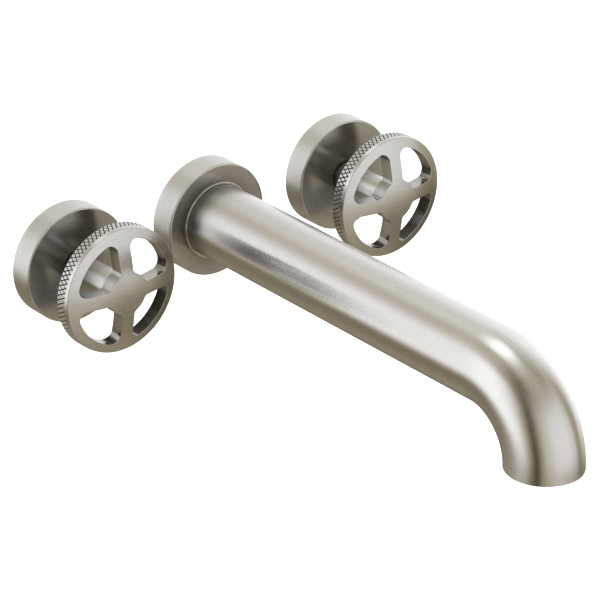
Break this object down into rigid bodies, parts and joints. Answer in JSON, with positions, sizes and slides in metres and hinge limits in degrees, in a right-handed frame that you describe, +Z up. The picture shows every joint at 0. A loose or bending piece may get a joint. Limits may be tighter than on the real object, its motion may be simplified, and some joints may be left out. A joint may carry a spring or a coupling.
{
  "type": "wall mounted bath faucet",
  "caption": "Wall mounted bath faucet: a long bent spout between two knurled round wheel handles, each on a round escutcheon.",
  "frame": {"origin": "centre of the spout inlet thread at the wall plane", "axes": "-Y out of the wall towards the user, +Z up, +X the viewer's right; the hot handle is at -X, the cold handle at +X"},
  "size_m": [0.2804, 0.3497, 0.0834],
  "materials": {
    "nickel_tube": "brushed nickel, brushed round the tube",
    "nickel_flange": "brushed nickel, straight brushing on the face",
    "gasket_foam": "closed-cell foam",
    "nickel_collar": "finely polished nickel",
    "rubber": "matt black rubber",
    "brass": "turned brass",
    "steel": "turned stainless steel",
    "nickel_ring": "satin nickel",
    "white_plastic": "satin white acetal",
    "nickel_escutcheon": "brushed nickel, straight brushing on the face",
    "black_plastic": "satin black acetal",
    "ceramic": "lapped alumina ceramic",
    "nickel_stem": "brushed nickel, brushed round the stem",
    "nickel_wheel": "brushed nickel with a knurled rim"
  },
  "bodies": {
    "wall_set": {"spout_tube": "nickel_tube", "spout_flange": "nickel_flange", "spout_flange_gasket": "gasket_foam", "spout_collar": "nickel_collar", "spout_grip_ring": "rubber", "spout_adapter": "brass", "spout_adapter_o_rings": "rubber", "spout_set_screw": "steel", "outlet_housing": "nickel_ring", "flow_straightener": "white_plastic", "outlet_washer": "rubber", "hot_escutcheon": "nickel_escutcheon", "hot_escutcheon_gasket": "gasket_foam", "hot_glide_ring": "black_plastic", "hot_mounting_sleeve": "brass", "hot_cartridge_body": "brass", "hot_body_o_ring": "rubber", "hot_seat_seal": "rubber", "hot_fixed_disc": "ceramic", "hot_friction_washer": "white_plastic", "cold_escutcheon": "nickel_escutcheon", "cold_escutcheon_gasket": "gasket_foam", "cold_glide_ring": "black_plastic", "cold_mounting_sleeve": "brass", "cold_cartridge_body": "brass", "cold_body_o_ring": "rubber", "cold_seat_seal": "rubber", "cold_fixed_disc": "ceramic", "cold_friction_washer": "white_plastic"},
    "hot_handle": {"hot_turning_disc": "ceramic", "hot_cartridge_stem": "brass", "hot_stem_o_rings": "rubber", "hot_stem_clip": "steel", "hot_spline_adapter": "brass", "hot_adapter_screw": "steel", "hot_handle_stem": "nickel_stem", "hot_handle_set_screw": "steel", "hot_handle_wheel": "nickel_wheel"},
    "cold_handle": {"cold_turning_disc": "ceramic", "cold_cartridge_stem": "brass", "cold_stem_o_rings": "rubber", "cold_stem_clip": "steel", "cold_spline_adapter": "brass", "cold_adapter_screw": "steel", "cold_handle_stem": "nickel_stem", "cold_handle_set_screw": "steel", "cold_handle_wheel": "nickel_wheel"}
  },
  "joints": [
    {"name": "hot_handle_turn", "type": "hinge", "parent": "wall_set", "child": "hot_handle", "pos_m": [-0.1016, -0.05, 0], "axis": [0, -1, 0], "range_deg": [0, 90]},
    {"name": "cold_handle_turn", "type": "hinge", "parent": "wall_set", "child": "cold_handle", "pos_m": [0.1016, -0.05, 0], "axis": [0, 1, 0], "range_deg": [0, 90]}
  ]
}
